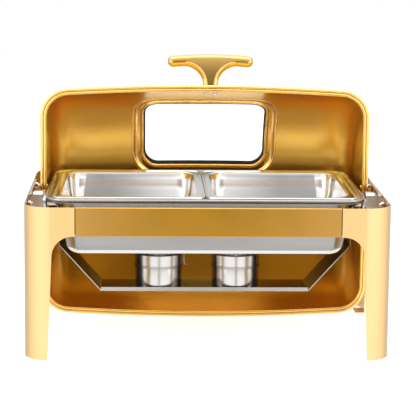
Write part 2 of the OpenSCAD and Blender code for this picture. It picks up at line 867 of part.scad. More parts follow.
front_band();
rear_band();
left_band();
right_band();
leg_at(-1, -1);  // leg_front_left
leg_at(1, -1);  // leg_front_right
leg_at(-1, 1);  // leg_rear_left
leg_at(1, 1);  // leg_rear_right
leg_studs();
leg_nuts();
hinge_block_left();
hinge_block_right();
block_screws();
hinge_shaft(-1);  // hinge_shaft_left
hinge_shaft(1);  // hinge_shaft_right
shaft_set_screws();
friction_washers();
spacer_sleeves();
shaft_clips();
carrier_plate_left();
carrier_plate_right();
fuel_tray();
tray_rivets();
lid_shell();
lid_rim_upper();
lid_rim_lower();
hinge_plate_left();
hinge_plate_right();
plate_rivets();
lid_bushings();
window_frame();
window_gasket();
window_glass();
lid_handle();
handle_screws();
water_pan();
food_pan_left();
food_pan_right();
fuel_cup(fuel_left_x);  // fuel_cup_left
fuel_cup(fuel_right_x);  // fuel_cup_right
fuel_cap(fuel_left_x, turn_left);  // fuel_cap_left
fuel_cap(fuel_right_x, turn_right);  // fuel_cap_right
cap_rivet(fuel_left_x, turn_left);  // cap_rivet_left
cap_rivet(fuel_right_x, turn_right);  // cap_rivet_right
damper(fuel_left_x, turn_left);  // damper_left
damper(fuel_right_x, turn_right);  // damper_right
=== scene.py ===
import json
import math

import bmesh
import bpy
from mathutils import Matrix, Vector
from mathutils.geometry import delaunay_2d_cdt


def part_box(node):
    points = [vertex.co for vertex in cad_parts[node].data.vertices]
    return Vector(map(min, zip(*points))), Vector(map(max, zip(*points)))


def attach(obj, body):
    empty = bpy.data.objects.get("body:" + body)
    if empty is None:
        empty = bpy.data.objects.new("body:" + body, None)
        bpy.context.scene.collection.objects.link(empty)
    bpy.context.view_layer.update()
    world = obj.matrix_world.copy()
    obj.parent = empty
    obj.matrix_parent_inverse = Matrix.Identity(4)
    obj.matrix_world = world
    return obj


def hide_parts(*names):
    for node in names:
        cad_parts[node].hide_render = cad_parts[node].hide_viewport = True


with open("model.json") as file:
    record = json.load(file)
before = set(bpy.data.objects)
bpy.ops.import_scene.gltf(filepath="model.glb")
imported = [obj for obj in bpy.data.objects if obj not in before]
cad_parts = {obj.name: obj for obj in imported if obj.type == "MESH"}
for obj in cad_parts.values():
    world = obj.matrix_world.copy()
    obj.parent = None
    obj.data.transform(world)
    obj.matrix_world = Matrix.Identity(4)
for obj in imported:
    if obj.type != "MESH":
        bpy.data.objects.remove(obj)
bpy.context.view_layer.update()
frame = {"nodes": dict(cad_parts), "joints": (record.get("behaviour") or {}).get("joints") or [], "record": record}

NODES = frame["nodes"]
JOINTS = {j["name"]: j for j in frame["joints"]}

# ---------- Sizes, in metres, read from the frame where it has them ----------

PIVOT_Z = JOINTS["lid_roll"]["pos_m"][2]
SHELL_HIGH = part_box("lid_shell")[1]
END_X = SHELL_HIGH.x
SHELL_R = SHELL_HIGH.z - PIVOT_Z
RIM_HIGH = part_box("lid_rim_upper")[1]
RIM_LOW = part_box("lid_rim_upper")[0]
RIM_W = RIM_HIGH.x - END_X
RIM_END = RIM_LOW.z - PIVOT_Z
RIM_FRONT = RIM_LOW.y
RIM_BACK = RIM_HIGH.y
SHELL_T = 0.001
CROWN_R = 4.0
CORNER_R = 0.042
HUB_HOLE = 0.0152

WINDOW_AT = math.radians(56.5)
WINDOW_SPAN = math.radians(43.5)
WINDOW_X = 0.004
WINDOW_HALF_W = 0.115
WINDOW_HALF_H = SHELL_R * math.sin(WINDOW_SPAN / 2)
WINDOW_R = 0.028
BORDER_W = 0.020

HANDLE_AT = math.radians(17.4)
HANDLE_X = 0.011
HANDLE_SPAN = 0.1580
HANDLE_BAR_R = 0.0103
CAD_HANDLE_BAR_R = 0.0093

SEAM_W = 0.0016


# ---------- Mesh helpers ----------

def new_object(name, verts, faces, sharp):
    """A smooth-shaded mesh, with edges sharper than so many degrees left crisp."""
    mesh = bpy.data.meshes.new(name)
    mesh.from_pydata([tuple(v) for v in verts], [], faces)
    mesh.validate()
    clean = bmesh.new()
    clean.from_mesh(mesh)
    bmesh.ops.remove_doubles(clean, verts=clean.verts, dist=1e-6)
    bmesh.ops.recalc_face_normals(clean, faces=clean.faces)
    clean.to_mesh(mesh)
    clean.free()
    for polygon in mesh.polygons:
        polygon.use_smooth = True
    mesh.set_sharp_from_angle(angle=math.radians(sharp))
    obj = bpy.data.objects.new(name, mesh)
    bpy.context.scene.collection.objects.link(obj)
    return obj


def loft(name, rings, sharp, wrap=False):
    """A skin over closed rings of points. wrap joins the two ends, else they are capped."""
    n = len(rings[0])
    verts = [p for ring in rings for p in ring]
    faces = []
    spans = len(rings) if wrap else len(rings) - 1
    for i in range(spans):
        a = i * n
        b = (i + 1) % len(rings) * n
        for j in range(n):
            k = (j + 1) % n
            faces.append((a + j, a + k, b + k, b + j))
    if not wrap:
        faces.append(tuple(range(n)))
        last = (len(rings) - 1) * n
        faces.append(tuple(range(last + n - 1, last - 1, -1)))
    return new_object(name, verts, faces, sharp)


def arc(cx, cy, r, a0, a1, steps):
    """Points along an arc, in degrees, both ends included."""
    points = []
    for i in range(steps + 1):
        a = math.radians(a0 + (a1 - a0) * i / steps)
        points.append((cx + r * math.cos(a), cy + r * math.sin(a)))
    return points


def rounded_ring(cx, cy, hx, hy, r, z):
    """A level rounded rectangle as a ring of points."""
    ring = []
    for sx, sy, a0 in ((1, 1, 0), (-1, 1, 90), (-1, -1, 180), (1, -1, 270)):
        for x, y in arc(sx * (hx - r), sy * (hy - r), r, a0, a0 + 90, 8):
            ring.append(Vector((cx + x, cy + y, z)))
    return ring


def finish_piece(obj, body, material, replaced):
    """Gives a piece its material and its body, and hides the CAD node it stands in for."""
    obj.data.materials.clear()
    obj.data.materials.append(material)
    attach(obj, body)
    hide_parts(replaced)
    return obj


# ---------- Materials ----------

def node_material(name):
    material = bpy.data.materials.new(name)
    material.use_nodes = True
    nodes = material.node_tree.nodes
    return material, nodes, material.node_tree.links, nodes["Principled BSDF"]


def stretched_noise(nodes, links, scale, detail):
    """Noise in the object's own coordinates, stretched by a scale along each axis."""
    place = nodes.new("ShaderNodeTexCoord")
    mapping = nodes.new("ShaderNodeMapping")
    mapping.inputs["Scale"].default_value = scale
    noise = nodes.new("ShaderNodeTexNoise")
    noise.inputs["Scale"].default_value = 1.0
    noise.inputs["Detail"].default_value = detail
    links.new(place.outputs["Object"], mapping.inputs["Vector"])
    links.new(mapping.outputs["Vector"], noise.inputs["Vector"])
    return noise.outputs["Fac"]


def spread(nodes, links, value, low, high):
    """Maps the middle of a noise's range onto low to high."""
    span = nodes.new("ShaderNodeMapRange")
    span.interpolation_type = "SMOOTHSTEP"
    span.inputs["From Min"].default_value = 0.15
    span.inputs["From Max"].default_value = 0.85
    span.inputs["To Min"].default_value = low
    span.inputs["To Max"].default_value = high
    links.new(value, span.inputs["Value"])
    return span.outputs["Result"]


def metal(name, color, worn, rough, grain, bump, coat=0.0, coat_rough=0.08, coat_ior=2.2):
    """Sheet metal: fine grain, slow changes of tone, and smudges in its gloss."""
    material, nodes, links, shader = node_material(name)
    shader.inputs["Metallic"].default_value = 1.0
    shader.inputs["Coat Weight"].default_value = coat
    shader.inputs["Coat Roughness"].default_value = coat_rough
    shader.inputs["Coat IOR"].default_value = coat_ior
    mix = nodes.new("ShaderNodeMix")
    mix.data_type = "RGBA"
    mix.inputs["A"].default_value = (*color, 1)
    mix.inputs["B"].default_value = (*worn, 1)
    patch = stretched_noise(nodes, links, (7, 7, 7), 1.0)
    fine = stretched_noise(nodes, links, grain, 2.0)
    tone = nodes.new("ShaderNodeMath")
    tone.operation = "MULTIPLY"
    links.new(spread(nodes, links, patch, 0.0, 0.4), tone.inputs[0])
    links.new(spread(nodes, links, fine, 0.4, 1.0), tone.inputs[1])
    links.new(tone.outputs["Value"], mix.inputs["Factor"])
    links.new(mix.outputs["Result"], shader.inputs["Base Color"])
    smudge = stretched_noise(nodes, links, (19, 17, 15), 1.0)
    gloss = spread(nodes, links, smudge, rough * 0.92, rough * 1.08)
    links.new(gloss, shader.inputs["Roughness"])
    relief = nodes.new("ShaderNodeBump")
    relief.inputs["Strength"].default_value = bump
    relief.inputs["Distance"].default_value = 0.0002
    links.new(fine, relief.inputs["Height"])
    links.new(relief.outputs["Normal"], shader.inputs["Normal"])
    return material


def moulded(name, color, rough):
    """Rubber or plastic with a fine matt skin."""
    material, nodes, links, shader = node_material(name)
    mix = nodes.new("ShaderNodeMix")
    mix.data_type = "RGBA"
    mix.inputs["A"].default_value = (*color, 1)
    mix.inputs["B"].default_value = (*[2.2 * c for c in color], 1)
    skin = stretched_noise(nodes, links, (900, 900, 900), 3.0)
    links.new(spread(nodes, links, skin, 0.0, 0.6), mix.inputs["Factor"])
    links.new(mix.outputs["Result"], shader.inputs["Base Color"])
    gloss = spread(nodes, links, skin, rough * 0.85, rough * 1.1)
    links.new(gloss, shader.inputs["Roughness"])
    relief = nodes.new("ShaderNodeBump")
    relief.inputs["Strength"].default_value = 0.15
    relief.inputs["Distance"].default_value = 0.0001
    links.new(skin, relief.inputs["Height"])
    links.new(relief.outputs["Normal"], shader.inputs["Normal"])
    return material


def clear_glass(name):
    """Glass with a faint film in its tint and its gloss."""
    material, nodes, links, shader = node_material(name)
    shader.inputs["Transmission Weight"].default_value = 1.0
    shader.inputs["IOR"].default_value = 1.45
    tone = nodes.new("ShaderNodeMix")
    tone.data_type = "RGBA"
    tone.inputs["A"].default_value = (0.97, 0.99, 0.98, 1)
    tone.inputs["B"].default_value = (0.93, 0.97, 0.95, 1)
    film = stretched_noise(nodes, links, (14, 14, 14), 3.0)
    links.new(spread(nodes, links, film, 0.0, 1.0), tone.inputs["Factor"])
    links.new(tone.outputs["Result"], shader.inputs["Base Color"])
    links.new(spread(nodes, links, film, 0.0, 0.03), shader.inputs["Roughness"])
    return material


GOLD = (0.70, 0.34, 0.030)
GOLD_WORN = (0.65, 0.31, 0.026)
LID_GOLD = (0.86, 0.52, 0.075)
LID_GOLD_WORN = (0.80, 0.47, 0.062)
# The bands' gold is darker than the legs' gold: painted shade for the dark reflections along the bands.
BAND_GOLD_PAINTED_SHADE = (0.46, 0.225, 0.008)
BAND_GOLD_WORN_PAINTED_SHADE = (0.42, 0.20, 0.006)
LEG_GOLD = (0.68, 0.40, 0.048)
CAST_GOLD = (0.64, 0.38, 0.07)
STEEL = (0.60, 0.585, 0.57)
STEEL_WORN = (0.52, 0.51, 0.50)

# Grain: how fine the noise is along X, Y and Z. The brushed lines run where it is coarse
LEVEL_GRAIN = (25, 25, 1400)
SHEET_GRAIN = (25, 1100, 1100)
CAST_GRAIN = (300, 300, 300)

leg_gold = metal("leg_gold", LEG_GOLD, GOLD_WORN, 0.42, LEVEL_GRAIN, 0.05,
                 coat=1.0, coat_rough=0.2, coat_ior=2.5)
band_gold_painted_shade = metal("band_gold_painted_shade", BAND_GOLD_PAINTED_SHADE, BAND_GOLD_WORN_PAINTED_SHADE, 0.24, LEVEL_GRAIN, 0.05,
                  coat=0.4, coat_rough=0.12)
lid_gold = metal("lid_gold", LID_GOLD, LID_GOLD_WORN, 0.31, (20, 1300, 1300), 0.05,
                 coat=0.25, coat_rough=0.22)
rim_gold = metal("rim_gold", LID_GOLD, GOLD, 0.20, (60, 900, 900), 0.03,
                 coat=0.8, coat_rough=0.12)
cast_gold = metal("cast_gold", CAST_GOLD, GOLD, 0.14, CAST_GRAIN, 0.03, coat=0.5)
satin_steel = metal("satin_steel", STEEL, STEEL_WORN, 0.34, (30, 1200, 1200), 0.05)
# A dark metal for the band's tabs seen through the seams: painted shade in the gap.
seam_shade = metal("seam_shade", (0.10, 0.045, 0.006), (0.07, 0.03, 0.004), 0.6,
                   LEVEL_GRAIN, 0.05)
block_steel = metal("block_steel", (0.66, 0.65, 0.64), STEEL, 0.38, (900, 900, 900), 0.05)
tray_steel = metal("tray_steel", (0.52, 0.50, 0.46), (0.46, 0.44, 0.41), 0.22, SHEET_GRAIN, 0.02)
# The water pan's steel is darker than the food pans' steel: painted shade.
water_steel_painted_shade = metal("water_steel_painted_shade", (0.33, 0.32, 0.31), (0.29, 0.28, 0.27), 0.28, SHEET_GRAIN, 0.02)
pan_steel = metal("pan_steel", (0.66, 0.645, 0.63), STEEL, 0.18, SHEET_GRAIN, 0.02)
# The fuel holders' steel has a darker base: painted shade for the dark reflections down their middles.
polished_steel_painted_shade = metal("polished_steel_painted_shade", (0.50, 0.48, 0.46), (0.43, 0.41, 0.39), 0.24,
                       (300, 300, 1500), 0.03)
plated_steel = metal("plated_steel", (0.62, 0.61, 0.60), STEEL_WORN, 0.18, (700, 700, 700), 0.05)
black_plastic = moulded("black_plastic", (0.018, 0.018, 0.018), 0.55)
black_rubber = moulded("black_rubber", (0.010, 0.010, 0.010), 0.6)
glass = clear_glass("glass")

SLOT_LOOKS = {
    "gold_frame": leg_gold,
    "gold_lid": rim_gold,
    "gold_cast": cast_gold,
    "steel": satin_steel,
    "fastener": plated_steel,
    "bushing": black_plastic,
    "gasket": black_rubber,
    "glass": glass,
    "pan_steel": pan_steel,
    "holder_steel": polished_steel_painted_shade,
}
for entry in frame["record"]["subparts"]:
    cad_mesh = NODES[entry["node"]].data
    cad_mesh.materials.clear()
    cad_mesh.materials.append(SLOT_LOOKS[entry["material_slot"]])

# The side bands get the darker gold too: painted shade.
for band in ("left_band", "right_band"):
    NODES[band].data.materials[0] = band_gold_painted_shade
NODES["fuel_tray"].data.materials[0] = tray_steel
for block in ("hinge_block_left", "hinge_block_right"):
    NODES[block].data.materials[0] = block_steel


# ---------- Crisp but not razor-sharp edges on the sheet and the blocks ----------

def soften(node, width, segments=2, angle=35):
    """A small bevel on a CAD node's edges that are sharper than so many degrees."""
    bevel = NODES[node].modifiers.new("soft_edges", "BEVEL")
    bevel.width = width
    bevel.segments = segments
    bevel.limit_method = "ANGLE"
    bevel.angle_limit = math.radians(angle)
    bevel.harden_normals = True


for side in ("left", "right"):
    for end in ("front", "rear"):
        soften(f"leg_{end}_{side}", 0.0006)
    soften(f"{side}_band", 0.0006)
    soften(f"hinge_block_{side}", 0.0025, 4, 25)
    soften(f"carrier_plate_{side}", 0.0003)
    soften(f"hinge_plate_{side}", 0.0004)
soften("fuel_tray", 0.0004)


# ---------- Lid ----------

LEAN = math.asin((END_X - CORNER_R) / (CROWN_R - CORNER_R))
CORNER_Z = SHELL_R - CROWN_R + (CROWN_R - CORNER_R) * math.cos(LEAN)


def crown_radius(x):
    """The lid's radius about the pivots' axis, which falls a little towards its ends."""
    return SHELL_R - CROWN_R + math.sqrt(CROWN_R ** 2 - x * x)


def lid_outline(start, corner_steps, crown_steps):
    """The lid's edge from right to left over the crown, as (x, radius, normal)."""
    half = []
    for i in range(7):
        half.append((END_X, start + (CORNER_Z - start) * i / 6, (1.0, 0.0)))
    top = 90 - math.degrees(LEAN)
    for x, r in arc(END_X - CORNER_R, CORNER_Z, CORNER_R, 0, top, corner_steps)[1:]:
        half.append((x, r, ((x - END_X + CORNER_R) / CORNER_R, (r - CORNER_Z) / CORNER_R)))
    edge = half[-1][0]
    for i in range(1, crown_steps // 2 + 1):
        x = edge * (1 - 2 * i / crown_steps)
        half.append((x, crown_radius(x), (x / CROWN_R, math.sqrt(1 - (x / CROWN_R) ** 2))))
    return half + [(-x, r, (-n[0], n[1])) for x, r, n in reversed(half[:-1])]


def around(x, r, theta):
    """A point at a radius from the pivots' axis, turned back from straight up."""
    return Vector((x, r * math.sin(theta), PIVOT_Z + r * math.cos(theta)))


def window_point(px, pv, off):
    """A point of the window's plan, px across and pv round, on the lid's surface."""
    x = WINDOW_X + px
    r = crown_radius(x) + off
    return around(x, r, WINDOW_AT + math.asin(pv / r))


def window_ring(grow, off):
    """The window's outline grown by so much, at a height over the shell."""
    corner_steps = 10
    side_steps = 12
    hx = WINDOW_HALF_W + grow
    hy = WINDOW_HALF_H + grow
    r = max(WINDOW_R + grow, 0.004)
    corners = []
    for sx, sy, a0 in ((1, 1, 0), (-1, 1, 90), (-1, -1, 180), (1, -1, 270)):
        corners.append(arc(sx * (hx - r), sy * (hy - r), r, a0, a0 + 90, corner_steps))
    ring = []
    for i, corner in enumerate(corners):
        ring += corner
        ax, ay = corner[-1]
        bx, by = corners[(i + 1) % 4][0]
        for k in range(1, side_steps):
            t = k / side_steps
            ring.append((ax + (bx - ax) * t, ay + (by - ay) * t))
    return [window_point(px, pv, off) for px, pv in ring]


def lid_shell():
    """The pressed half drum, with a hole for the window and a thickness."""
    outline = lid_outline(HUB_HOLE, 12, 40)
    turns = 64
    thetas = [math.pi * i / turns for i in range(turns + 1)]
    mouth_y = RIM_FRONT + 0.001
    columns = len(outline)
    hole_half_w = WINDOW_HALF_W + BORDER_W
    hole_half_h = WINDOW_HALF_H + BORDER_W
    patch_half_w = hole_half_w + 0.030
    patch_half_a = math.asin((hole_half_h + 0.014) / SHELL_R)
    c0, c1 = snap_columns(outline, WINDOW_X - patch_half_w, WINDOW_X + patch_half_w)
    t0 = nearest(thetas, WINDOW_AT - patch_half_a)
    t1 = nearest(thetas, WINDOW_AT + patch_half_a)
    skins = []
    for off in (0.0, -SHELL_T):
        rows = [[Vector((x + off * n[0], mouth_y, PIVOT_Z + r + off * n[1]))
                 for x, r, n in outline]]
        for theta in thetas:
            rows.append([around(x + off * n[0], r + off * n[1], theta) for x, r, n in outline])
        rows.append([Vector((x + off * n[0], mouth_y, PIVOT_Z - r - off * n[1]))
                     for x, r, n in outline])
        skins.append(rows)
    verts = []
    faces = []
    edges_front = []
    hole_rings = []
    for rows in skins:
        base = len(verts)
        for row in rows:
            verts += row
        for i in range(len(rows) - 1):
            for j in range(columns - 1):
                if t0 + 1 <= i < t1 + 1 and c0 <= j < c1:
                    continue
                a = base + i * columns + j
                faces.append((a, a + 1, a + columns + 1, a + columns))
        loop = [(t0 + 1, j) for j in range(c0, c1)]
        loop += [(i, c1) for i in range(t0 + 1, t1 + 1)]
        loop += [(t1 + 1, j) for j in range(c1, c0, -1)]
        loop += [(i, c0) for i in range(t1 + 1, t0 + 1, -1)]
        ring = [base + i * columns + j for i, j in loop]
        off = 0.0 if rows is skins[0] else -SHELL_T
        plan = [plan_point(outline, thetas, i - 1, j) for i, j in loop]
        targets = [to_rounded(px, pv, plan, hole_half_w, hole_half_h, WINDOW_R + BORDER_W)
                   for px, pv in plan]
        before = ring
        for step in (0.5, 1.0):
            start = len(verts)
            for (px, pv), (qx, qv) in zip(plan, targets):
                x = px + (qx - px) * step
                verts.append(window_point(x, pv + (qv - pv) * step, off))
            after = list(range(start, start + len(loop)))
            for k in range(len(loop)):
                m = (k + 1) % len(loop)
                faces.append((before[k], before[m], after[m], after[k]))
            before = after
        hole_rings.append(before)
        rim_loop = [base + j for j in range(columns)]
        rim_loop += [base + i * columns + columns - 1 for i in range(1, len(rows))]
        rim_loop += [base + (len(rows) - 1) * columns + j for j in range(columns - 2, -1, -1)]
        rim_loop += [base + i * columns for i in range(len(rows) - 2, 0, -1)]
        edges_front.append(rim_loop)
    for outer, inner in (hole_rings, edges_front):
        for k in range(len(outer)):
            m = (k + 1) % len(outer)
            faces.append((outer[k], outer[m], inner[m], inner[k]))
    return new_object("LidShell", verts, faces, 40)


def nearest(values, target):
    """The index of the value that is nearest to a target."""
    return min(range(len(values)), key=lambda i: abs(values[i] - target))


def snap_columns(outline, x0, x1):
    """The outline's columns nearest to two places on the crown."""
    xs = [x for x, r, n in outline]
    return tuple(sorted((nearest(xs, x0), nearest(xs, x1))))


def plan_point(outline, thetas, row, column):
    """A grid point of the shell in the window's plan, across and round."""
    x, r, n = outline[column]
    return x - WINDOW_X, r * math.sin(thetas[row] - WINDOW_AT)


def to_rounded(px, pv, plan, hx, hy, r):
    """Moves a point of the patch's edge to the matching point of the rounded hole."""
    low_x = min(p[0] for p in plan)
    high_x = max(p[0] for p in plan)
    low_v = min(p[1] for p in plan)
    high_v = max(p[1] for p in plan)
    x = hx * (2 * (px - low_x) / (high_x - low_x) - 1)
    v = hy * max(-1.0, min(1.0, 2 * (pv - low_v) / (high_v - low_v) - 1))
    cx = max(-(hx - r), min(hx - r, x))
    cv = max(-(hy - r), min(hy - r, v))
    if abs(x) > hx - r and abs(v) > hy - r:
        way = Vector((x - cx, v - cv)).normalized()
        return cx + r * way.x, cv + r * way.y
    return x, v


def lid_rim(name, up):
    """A folded edge with two beads and a groove, swept round half of the lid's mouth.

    Its section is a list of (distance out from the shell, y).
    """
    front = RIM_FRONT
    back = RIM_BACK
    sign = 1 if up else -1
    inner_r = 0.0019
    outer_r = 0.0028
    inner_bead = arc(inner_r, front + inner_r, inner_r, 180, 350, 8)
    outer_bead = arc(RIM_W - outer_r, front + outer_r, outer_r, 190, 360, 10)
    profile = [(0.0, back)] + inner_bead + [(0.0044, front + 0.0027)] + outer_bead
    profile += [(RIM_W, back - 0.0010), (RIM_W - 0.0010, back), (RIM_W - 0.0016, back - 0.0012)]
    profile += [(RIM_W - 0.0016, front + 0.0036), (0.0012, front + 0.0040), (0.0012, back)]
    rings = []
    for x, r, n in lid_outline(RIM_END, 14, 48):
        rings.append([Vector((x + off * n[0], y, PIVOT_Z + sign * (r + off * n[1])))
                      for off, y in profile])
    return loft(name, rings, 50)


def window_border():
    """The pressed border: a soft step out of the shell, a flat land and a bead at the glass.

    Its section is a list of (distance out from the pane's edge, height over the shell).
    """
    step = [(BORDER_W + 0.006, 0.0001), (BORDER_W + 0.006, 0.0011), (BORDER_W + 0.0012, 0.0012)]
    step += [(BORDER_W - 0.0002 - dx, 0.0012 + dz)
             for dx, dz in ((0.0, 0.0006), (0.0008, 0.0020), (0.0024, 0.0030))]
    skin = step + [(0.0060, 0.0042), (0.0, 0.0042), (0.0, 0.0016)]
    skin += arc(0.0028, 0.0016, 0.0018, 180, 360, 8)
    skin += [(0.0064, 0.0026), (0.0076, 0.0030)]
    skin += [(BORDER_W + out, height) for out, height in (
        (-0.0062, 0.0030), (-0.0040, 0.0024), (-0.0026, 0.0010), (-0.0016, -0.0006),
        (-0.0004, -0.0014), (0.0012, -0.0016), (0.0026, -0.0013), (0.0030, -0.0009),
        (0.0002, -0.0009), (0.0002, 0.0001))]
    rings = [window_ring(grow, off) for grow, off in skin]
    return loft("WindowBorder", rings, 50, wrap=True)


def handle_outline():
    """Half of the T handle's outline, from the lid up to the middle of its top."""
    bar_r = HANDLE_BAR_R
    bar_mid = handle_top() - bar_r
    tip_x = HANDLE_SPAN / 2 - bar_r
    droop = 0.0034
    half_stem = 0.0138
    sweep = 0.036
    sweep_x = half_stem + sweep
    under = bar_mid - bar_r - 0.0016
    points = [(half_stem + 0.0012, SHELL_R - 0.012), (half_stem + 0.0006, SHELL_R + 0.004)]
    points += arc(sweep_x, under - sweep, sweep, 180, 94, 18)
    start = points[-1]
    end = (tip_x, bar_mid - droop - bar_r)
    for i in range(1, 6):
        t = i / 6
        points.append((start[0] + (end[0] - start[0]) * t, start[1] + (end[1] - start[1]) * t))
    points += arc(tip_x, bar_mid - droop, bar_r, -90, 90, 14)
    for i in range(1, 15):
        t = i / 14
        x = tip_x * (1 - t)
        points.append((x, bar_mid + bar_r - droop * (x / tip_x) ** 2))
    return points


def handle_top():
    """Distance of the handle's top from the pivots' axis."""
    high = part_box("lid_handle")[1]
    bar_r = CAD_HANDLE_BAR_R
    return (high.z - PIVOT_Z - bar_r) / math.cos(HANDLE_AT) + bar_r


def evenly(points, spacing):
    """The closed outline again, with points at about the same spacing."""
    out = []
    n = len(points)
    for i in range(n):
        a = Vector(points[i])
        b = Vector(points[(i + 1) % n])
        parts = max(1, round((b - a).length / spacing))
        out += [a + (b - a) * k / parts for k in range(parts)]
    return out


def handle():
    """The T handle: a rounded section with a flat front, thicker at the grip than at the lid."""
    flat = 0.0078
    spacing = 0.0014
    foot_half_t = 0.0056
    more_half_t = 0.0066
    right = handle_outline()
    outline = evenly(right + [(-x, z) for x, z in reversed(right[:-1])], spacing)
    n = len(outline)
    turn = sum(outline[i].x * outline[(i + 1) % n].y - outline[(i + 1) % n].x * outline[i].y
               for i in range(n))
    points = list(outline)
    for share in (0.02, 0.07, 0.15, 0.27, 0.42, 0.60, 0.80, 1.0):
        depth = flat * share
        for i in range(n):
            run = (outline[(i + 1) % n] - outline[i - 1]).normalized()
            p = outline[i] + Vector((-run.y, run.x)) * math.copysign(depth, turn)
            if edge_distance(p, outline) > depth * 0.985:
                points.append(p)
    low = min(p.y for p in outline)
    high = max(p.y for p in outline)
    for i in range(-60, 61):
        for j in range(60):
            p = Vector((i * spacing, low + 0.0007 + j * spacing))
            if inside(p, outline) and edge_distance(p, outline) > flat * 1.08:
                points.append(p)
    edges = [(i, (i + 1) % n) for i in range(n)]
    flat_verts, _, flat_faces, *_ = delaunay_2d_cdt(points, edges, [], 1, 1e-6)
    verts = []
    faces = []
    for sign in (-1, 1):
        base = len(verts)
        for p in flat_verts:
            d = min(edge_distance(p, outline), flat) / flat
            rise = (p.y - low) / (high - low)
            half_t = foot_half_t + more_half_t * math.sin(math.radians(90) * min(1.0, rise * 1.05))
            verts.append((p.x, sign * half_t * math.sqrt(max(0.0, 1 - (1 - d) ** 2)), p.y))
        for face in flat_faces:
            faces.append([base + k for k in (face if sign > 0 else reversed(face))])
    mesh = bpy.data.meshes.new("Handle")
    mesh.from_pydata(verts, [], faces)
    shape = bmesh.new()
    shape.from_mesh(mesh)
    bmesh.ops.remove_doubles(shape, verts=shape.verts, dist=2e-6)
    cut = bmesh.ops.bisect_plane(
        shape, geom=shape.verts[:] + shape.edges[:] + shape.faces[:], dist=1e-6,
        plane_co=(0, 0, SHELL_R - 0.0001), plane_no=(0, 0, -1), clear_outer=True)
    rim = [g for g in cut["geom_cut"] if isinstance(g, bmesh.types.BMEdge)]
    bmesh.ops.triangle_fill(shape, use_beauty=True, edges=rim)
    bmesh.ops.recalc_face_normals(shape, faces=shape.faces)
    place = Matrix.Translation((HANDLE_X, 0, PIVOT_Z)) @ Matrix.Rotation(-HANDLE_AT, 4, "X")
    bmesh.ops.transform(shape, matrix=place, verts=shape.verts)
    shape.to_mesh(mesh)
    shape.free()
    for polygon in mesh.polygons:
        polygon.use_smooth = True
    obj = bpy.data.objects.new("Handle", mesh)
    bpy.context.scene.collection.objects.link(obj)
    return obj


def edge_distance(p, outline):
    """Distance from a point to the nearest stretch of a closed outline."""
    best = 1.0
    for i in range(len(outline)):
        a = outline[i - 1]
        run = outline[i] - a
        t = max(0.0, min(1.0, (p - a).dot(run) / run.length_squared))
        best = min(best, (p - a - run * t).length)
    return best


def inside(p, outline):
    """Whether a point lies inside a closed outline."""
    crossings = 0
    for i in range(len(outline)):
        a = outline[i - 1]
        b = outline[i]
        if (a.y > p.y) != (b.y > p.y):
            if p.x < a.x + (b.x - a.x) * (p.y - a.y) / (b.y - a.y):
                crossings += 1
    return crossings % 2 == 1


finish_piece(lid_shell(), "lid", lid_gold, "lid_shell")
for rim_name, is_upper, rim_node in (("LidRimUpper", True, "lid_rim_upper"),
                                     ("LidRimLower", False, "lid_rim_lower")):
    finish_piece(lid_rim(rim_name, is_upper), "lid", rim_gold, rim_node)
finish_piece(window_border(), "lid", rim_gold, "window_frame")
finish_piece(handle(), "lid", cast_gold, "lid_handle")


# ---------- Front and rear bands ----------

def long_band(name, node, leg, outward):
    """A band bent from sheet: its face stops just short of the legs, its tabs pass behind them."""
    low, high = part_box(node)
    end = -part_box(leg)[1].x - SEAM_W
    t = 0.0015
    r = 0.0022
    shade_w = 0.0030
    face = low.y if outward < 0 else high.y
    depth = high.y - low.y
    mid = (low.z + high.z) / 2
    tall = (high.z - low.z) / 2
    tab = tall - 0.0034
    stations = [(end, 0.0, tall), (end + 0.0002, t, tab), (end + shade_w, t, tab), (high.x, t, tab)]
    rings = []
    for x, back, half in [(-x, back, half) for x, back, half in reversed(stations)] + stations:
        hem = depth - back
        profile = [(hem, half - t), (hem, half)] + arc(r, half - r, r, 90, 180, 5)
        profile += arc(r, r - half, r, 180, 270, 5) + [(hem, -half), (hem, t - half)]
        profile += arc(r, r - half, r - t, 270, 180, 3) + arc(r, half - r, r - t, 180, 90, 3)
        rings.append([Vector((x, face - outward * (d + back * 1.04), mid + z)) for d, z in profile])
    # The band's darker gold is painted shade.
    band = finish_piece(loft(name, rings, 30), "frame", band_gold_painted_shade, node)
    # The tabs' faces just behind the seam get the dark metal: painted shade in the gap between band and leg.
    band.data.materials.append(seam_shade)
    for polygon in band.data.polygons:
        if end < abs(polygon.center.x) < end + shade_w:
            polygon.material_index = 1


long_band("FrontBand", "front_band", "leg_front_left", -1)
long_band("RearBand", "rear_band", "leg_rear_left", 1)


# ---------- Pans ----------

